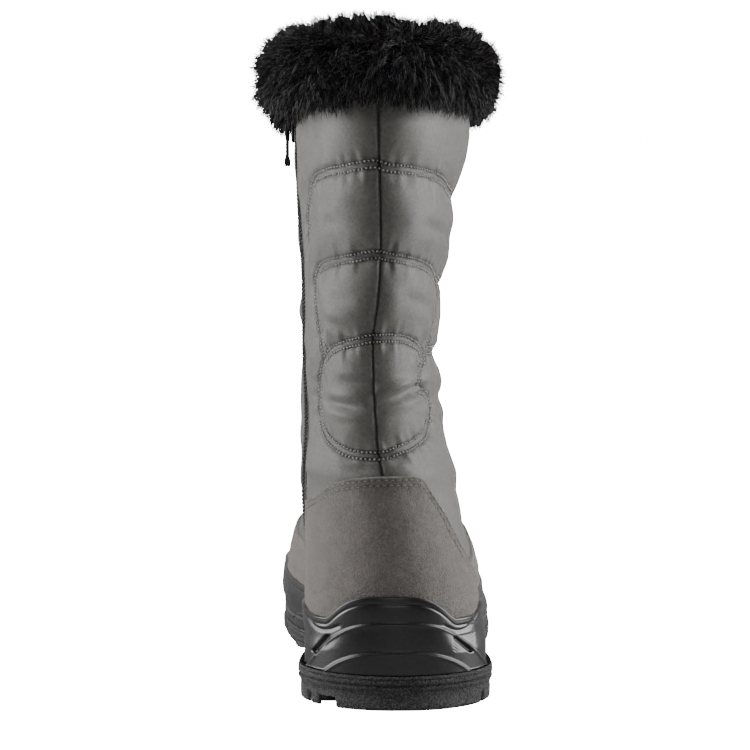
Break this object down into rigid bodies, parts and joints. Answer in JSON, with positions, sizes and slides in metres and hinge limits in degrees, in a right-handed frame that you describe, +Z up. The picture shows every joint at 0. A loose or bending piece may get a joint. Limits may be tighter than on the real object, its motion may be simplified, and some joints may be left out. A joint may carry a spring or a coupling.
{
  "type": "snow boot",
  "caption": "Tall right snow boot with a quilted nylon shaft, suede heel and toe overlays, a moulded rubber cup sole with a lugged tread, an inner side zip and a black fur cuff",
  "frame": {"origin": "on the ground, at the flat lug under the middle of the heel", "axes": "+Z up, +Y to the toe, +X to the outer side of the right foot; the heel's back is at y = -34 mm and the zip is on the inner side, at -X"},
  "size_m": [0.1188, 0.3122, 0.2932],
  "materials": {
    "tread_rubber": "grainy matte rubber",
    "shell_rubber": "smooth satin rubber",
    "felt": "dark felt",
    "quilted_nylon": "grey quilted nylon with a slight sheen",
    "suede": "warm grey suede",
    "coil": "dark nylon coil",
    "fur": "black deep-pile faux fur",
    "zip_metal": "dark painted metal"
  },
  "bodies": {
    "boot": {"outsole": "tread_rubber", "sole_shell": "shell_rubber", "insole": "felt", "upper": "quilted_nylon", "heel_counter": "suede", "mudguard": "suede", "zip_chain": "coil", "fur_cuff": "fur", "zip_slider": "zip_metal"},
    "pull": {"zip_pull": "zip_metal"}
  },
  "joints": [
    {"name": "pull_swing", "type": "hinge", "parent": "boot", "child": "pull", "pos_m": [-0.04884, 0.02581, 0.25189], "axis": [0, 1, 0], "range_deg": [-3, 85]}
  ]
}
